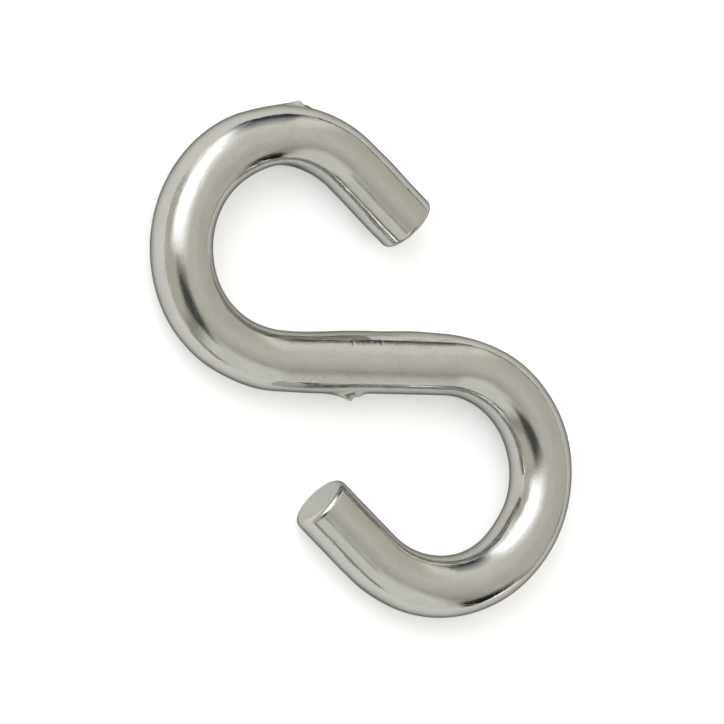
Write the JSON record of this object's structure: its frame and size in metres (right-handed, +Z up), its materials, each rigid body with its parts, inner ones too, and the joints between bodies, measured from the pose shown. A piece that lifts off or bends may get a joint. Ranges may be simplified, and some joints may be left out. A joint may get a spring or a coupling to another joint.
{
  "type": "s hook",
  "caption": "S hook of round bright steel wire: a short slanting shank with an open eye at each end, for linking chain, rings, cord or signs.",
  "frame": {"origin": "the midpoint between the two eyes, on the surface that the hook lies on", "axes": "+Y along the line of pull from the lower eye to the upper eye; +Z up, square to the flat of the hook; +X to the right, so that from above the hook reads as a letter S"},
  "size_m": [0.0204, 0.0382, 0.0042],
  "materials": {
    "bright_wire": "bright nickel-plated steel wire, polished, with matte sheared ends"
  },
  "bodies": {
    "root": {"wire_hook": "bright_wire"}
  },
  "joints": []
}
